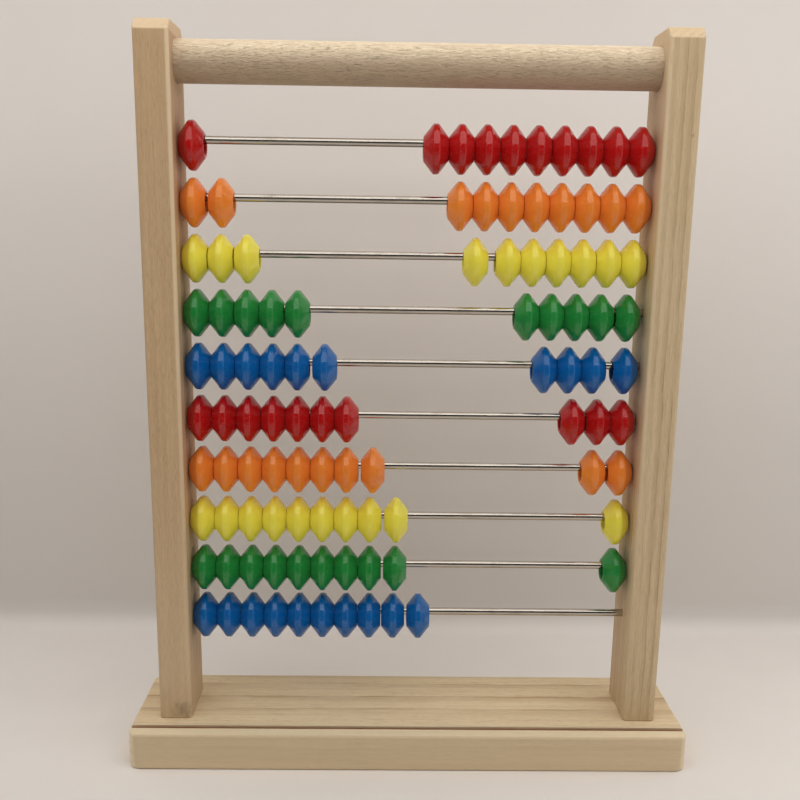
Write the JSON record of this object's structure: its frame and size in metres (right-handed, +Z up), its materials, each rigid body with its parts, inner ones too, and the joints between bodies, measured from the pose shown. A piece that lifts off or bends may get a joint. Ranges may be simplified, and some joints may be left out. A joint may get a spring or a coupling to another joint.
{
  "type": "abacus",
  "caption": "Freestanding counting abacus: a flat base board, upright posts with a round carry handle, and steel rods strung with sliding double-cone beads in bright colours.",
  "frame": {"origin": "centre of the base board's underside", "axes": "+Z up the posts, +X to the right along the rods and the board's length, front of the board (with the card slot) towards -Y"},
  "size_m": [0.3, 0.074, 0.38],
  "materials": {
    "board_wood": "bare planed pine board, brown growth bands along its length",
    "post_wood": "bare sanded pine, fine upright grain",
    "handle_wood": "bare turned hardwood dowel, fine short pores",
    "rod_steel": "bright nickel-plated steel",
    "screw_steel": "zinc-plated steel",
    "red_bead": "glossy moulded plastic",
    "orange_bead": "glossy moulded plastic",
    "yellow_bead": "glossy moulded plastic",
    "green_bead": "glossy moulded plastic",
    "blue_bead": "glossy moulded plastic"
  },
  "bodies": {
    "frame": {"base_board": "board_wood", "left_post": "post_wood", "right_post": "post_wood", "carry_handle": "handle_wood", "rod_01": "rod_steel", "rod_02": "rod_steel", "rod_03": "rod_steel", "rod_04": "rod_steel", "rod_05": "rod_steel", "rod_06": "rod_steel", "rod_07": "rod_steel", "rod_08": "rod_steel", "rod_09": "rod_steel", "rod_10": "rod_steel", "post_screws": "screw_steel", "handle_screws": "screw_steel"},
    "row_01_left_beads": {"row_01_red_left_1": "red_bead"},
    "row_01_right_beads": {"row_01_red_right_1": "red_bead"},
    "row_02_left_beads": {"row_02_orange_left_1": "orange_bead", "row_02_orange_left_2": "orange_bead"},
    "row_02_right_beads": {"row_02_orange_right_1": "orange_bead"},
    "row_03_left_beads": {"row_03_yellow_left_1": "yellow_bead", "row_03_yellow_left_2": "yellow_bead", "row_03_yellow_left_3": "yellow_bead"},
    "row_03_right_beads": {"row_03_yellow_right_1": "yellow_bead", "row_03_yellow_right_2": "yellow_bead"},
    "row_04_left_beads": {"row_04_green_left_1": "green_bead", "row_04_green_left_2": "green_bead"},
    "row_04_right_beads": {"row_04_green_right_1": "green_bead", "row_04_green_right_2": "green_bead"},
    "row_05_left_beads": {"row_05_blue_left_1": "blue_bead", "row_05_blue_left_2": "blue_bead"},
    "row_05_right_beads": {"row_05_blue_right_1": "blue_bead", "row_05_blue_right_2": "blue_bead"},
    "row_06_left_beads": {"row_06_red_left_1": "red_bead", "row_06_red_left_2": "red_bead"},
    "row_06_right_beads": {"row_06_red_right_1": "red_bead", "row_06_red_right_2": "red_bead"},
    "row_07_left_beads": {"row_07_orange_left_1": "orange_bead", "row_07_orange_left_2": "orange_bead"},
    "row_07_right_beads": {"row_07_orange_right_1": "orange_bead", "row_07_orange_right_2": "orange_bead"},
    "row_08_left_beads": {"row_08_yellow_left_1": "yellow_bead", "row_08_yellow_left_2": "yellow_bead"},
    "row_08_right_beads": {"row_08_yellow_right_1": "yellow_bead"},
    "row_09_left_beads": {"row_09_green_left_1": "green_bead", "row_09_green_left_2": "green_bead"},
    "row_09_right_beads": {"row_09_green_right_1": "green_bead"},
    "row_10_left_beads": {"row_10_blue_left_1": "blue_bead", "row_10_blue_left_2": "blue_bead", "row_10_blue_left_3": "blue_bead"}
  },
  "joints": [
    {"name": "row_01_left_slide", "type": "slide", "parent": "frame", "child": "row_01_left_beads", "axis": [1, 0, 0], "range_m": [-0.0002, 0.1088]},
    {"name": "row_01_right_slide", "type": "slide", "parent": "frame", "child": "row_01_right_beads", "axis": [1, 0, 0], "range_m": [-0.1088, 0.0002]},
    {"name": "row_02_left_slide", "type": "slide", "parent": "frame", "child": "row_02_left_beads", "axis": [1, 0, 0], "range_m": [-0.0002, 0.10755]},
    {"name": "row_02_right_slide", "type": "slide", "parent": "frame", "child": "row_02_right_beads", "axis": [1, 0, 0], "range_m": [-0.10755, 0.0003]},
    {"name": "row_03_left_slide", "type": "slide", "parent": "frame", "child": "row_03_left_beads", "axis": [1, 0, 0], "range_m": [-0.0002, 0.10385]},
    {"name": "row_03_right_slide", "type": "slide", "parent": "frame", "child": "row_03_right_beads", "axis": [1, 0, 0], "range_m": [-0.10385, 0.0008]},
    {"name": "row_04_left_slide", "type": "slide", "parent": "frame", "child": "row_04_left_beads", "axis": [1, 0, 0], "range_m": [-0.0002, 0.1057]},
    {"name": "row_04_right_slide", "type": "slide", "parent": "frame", "child": "row_04_right_beads", "axis": [1, 0, 0], "range_m": [-0.1057, 0.002]},
    {"name": "row_05_left_slide", "type": "slide", "parent": "frame", "child": "row_05_left_beads", "axis": [1, 0, 0], "range_m": [-0.0002, 0.1022]},
    {"name": "row_05_right_slide", "type": "slide", "parent": "frame", "child": "row_05_right_beads", "axis": [1, 0, 0], "range_m": [-0.1022, 0.0015]},
    {"name": "row_06_left_slide", "type": "slide", "parent": "frame", "child": "row_06_left_beads", "axis": [1, 0, 0], "range_m": [-0.0002, 0.1068]},
    {"name": "row_06_right_slide", "type": "slide", "parent": "frame", "child": "row_06_right_beads", "axis": [1, 0, 0], "range_m": [-0.1068, 0.0013]},
    {"name": "row_07_left_slide", "type": "slide", "parent": "frame", "child": "row_07_left_beads", "axis": [1, 0, 0], "range_m": [-0.0004, 0.1052]},
    {"name": "row_07_right_slide", "type": "slide", "parent": "frame", "child": "row_07_right_beads", "axis": [1, 0, 0], "range_m": [-0.1052, 0.001]},
    {"name": "row_08_left_slide", "type": "slide", "parent": "frame", "child": "row_08_left_beads", "axis": [1, 0, 0], "range_m": [-0.0002, 0.10655]},
    {"name": "row_08_right_slide", "type": "slide", "parent": "frame", "child": "row_08_right_beads", "axis": [1, 0, 0], "range_m": [-0.10655, 0.0011]},
    {"name": "row_09_left_slide", "type": "slide", "parent": "frame", "child": "row_09_left_beads", "axis": [1, 0, 0], "range_m": [-0.0002, 0.10745]},
    {"name": "row_09_right_slide", "type": "slide", "parent": "frame", "child": "row_09_right_beads", "axis": [1, 0, 0], "range_m": [-0.10745, 0.0005]},
    {"name": "row_10_left_slide", "type": "slide", "parent": "frame", "child": "row_10_left_beads", "axis": [1, 0, 0], "range_m": [-0.0002, 0.10755]}
  ]
}
